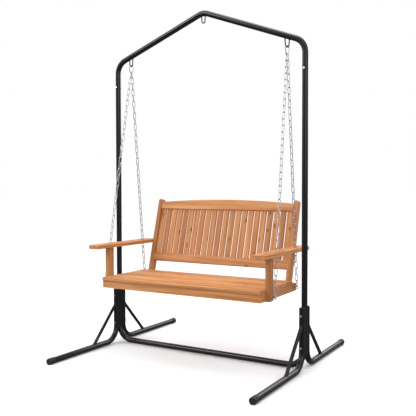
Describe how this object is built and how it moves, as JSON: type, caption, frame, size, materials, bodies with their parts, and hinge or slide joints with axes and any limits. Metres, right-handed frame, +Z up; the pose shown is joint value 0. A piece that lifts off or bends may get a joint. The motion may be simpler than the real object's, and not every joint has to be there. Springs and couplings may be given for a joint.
{
  "type": "porch swing",
  "caption": "Slatted timber garden bench with armrests, hung on chains and snap hooks from a free-standing bent steel tube frame, swinging fore and aft.",
  "frame": {"origin": "on the floor, midway between the uprights of the frame", "axes": "+X across the seat to the right of someone who faces its front, -Y the front, +Z up"},
  "size_m": [1.492, 1.45, 2.3134],
  "materials": {
    "black_powder_coat": "satin black powder coat",
    "oiled_wood": "oiled warm brown softwood, visible grain",
    "galvanised_steel": "bright zinc plated",
    "zinc_bolts": "bright zinc plated",
    "brass_screws": "yellow passivated zinc",
    "black_plastic": "matte moulded black"
  },
  "bodies": {
    "frame": {"beam_arm_left": "black_powder_coat", "beam_arm_right": "black_powder_coat", "bottom_crossbar": "black_powder_coat", "brace_front_left": "black_powder_coat", "brace_front_right": "black_powder_coat", "brace_rear_left": "black_powder_coat", "brace_rear_right": "black_powder_coat", "cap_nuts": "zinc_bolts", "foot_cap_front_left": "black_plastic", "foot_cap_front_right": "black_plastic", "foot_cap_rear_left": "black_plastic", "foot_cap_rear_right": "black_plastic", "hanger_hook_left": "black_powder_coat", "hanger_hook_right": "black_powder_coat", "leg_bolts": "zinc_bolts", "leg_front_left": "black_powder_coat", "leg_front_right": "black_powder_coat", "leg_rear_left": "black_powder_coat", "leg_rear_right": "black_powder_coat", "leg_top_caps": "black_plastic", "saddle_washers": "black_plastic", "sleeve_bolts": "zinc_bolts", "spare_hook": "black_powder_coat", "upright_left": "black_powder_coat", "upright_right": "black_powder_coat"},
    "left_snap_hook": {"snap_hook_left": "galvanised_steel", "gate_pin_left": "galvanised_steel"},
    "left_snap_gate": {"snap_gate_left": "galvanised_steel"},
    "left_chains": {"chain_front_left": "galvanised_steel", "chain_rear_left": "galvanised_steel"},
    "right_snap_hook": {"snap_hook_right": "galvanised_steel", "gate_pin_right": "galvanised_steel"},
    "right_snap_gate": {"snap_gate_right": "galvanised_steel"},
    "right_chains": {"chain_front_right": "galvanised_steel", "chain_rear_right": "galvanised_steel"},
    "seat": {"arm_post_left": "oiled_wood", "arm_post_right": "oiled_wood", "armrest_left": "oiled_wood", "armrest_right": "oiled_wood", "back_slats": "oiled_wood", "back_stile_left": "oiled_wood", "back_stile_right": "oiled_wood", "centre_bearer": "oiled_wood", "crest_rail": "oiled_wood", "eye_bolt_nuts": "galvanised_steel", "eye_bolt_washers": "galvanised_steel", "eye_bolts": "galvanised_steel", "front_apron": "oiled_wood", "lower_back_rail": "oiled_wood", "rear_seat_rail": "oiled_wood", "seat_plank_1": "oiled_wood", "seat_plank_2": "oiled_wood", "seat_plank_3": "oiled_wood", "seat_plank_4": "oiled_wood", "seat_plank_5": "oiled_wood", "side_rail_left": "oiled_wood", "side_rail_right": "oiled_wood", "wood_screws": "brass_screws"}
  },
  "joints": [
    {"name": "swing", "type": "hinge", "parent": "frame", "child": "left_snap_hook", "pos_m": [-0.605, 0, 2.003], "axis": [1, 0, 0], "range_deg": [-25, 25]},
    {"name": "swing_right", "type": "hinge", "parent": "frame", "child": "right_snap_hook", "pos_m": [0.605, 0, 2.003], "axis": [1, 0, 0], "range_deg": [-25, 25]},
    {"name": "sway", "type": "hinge", "parent": "left_snap_hook", "child": "left_chains", "pos_m": [-0.605, 0, 1.9566], "axis": [0, 1, 0], "range_deg": [-1.1, 1.1]},
    {"name": "sway_right", "type": "hinge", "parent": "right_snap_hook", "child": "right_chains", "pos_m": [0.605, 0, 1.9566], "axis": [0, 1, 0], "range_deg": [-1.1, 1.1]},
    {"name": "seat_level", "type": "hinge", "parent": "left_chains", "child": "seat", "pos_m": [-0.625, 0, 0.482], "axis": [0, 1, 0], "range_deg": [-1.1, 1.1]},
    {"name": "gate_left", "type": "hinge", "parent": "left_snap_hook", "child": "left_snap_gate", "pos_m": [-0.60991, -0.00923, 1.96832], "axis": [0.8829, -0.4695, 0], "range_deg": [-20, 0], "stiffness_Nm_per_rad": 0.03, "springref_deg": 2.86},
    {"name": "gate_right", "type": "hinge", "parent": "right_snap_hook", "child": "right_snap_gate", "pos_m": [0.60009, -0.00923, 1.96832], "axis": [0.8829, -0.4695, 0], "range_deg": [-20, 0], "stiffness_Nm_per_rad": 0.03, "springref_deg": 2.86}
  ],
  "couplings": [
    {"joint": "swing_right", "follows": "swing", "ratio": 1},
    {"joint": "sway_right", "follows": "sway", "ratio": 1},
    {"joint": "seat_level", "follows": "sway", "ratio": -0.968}
  ]
}
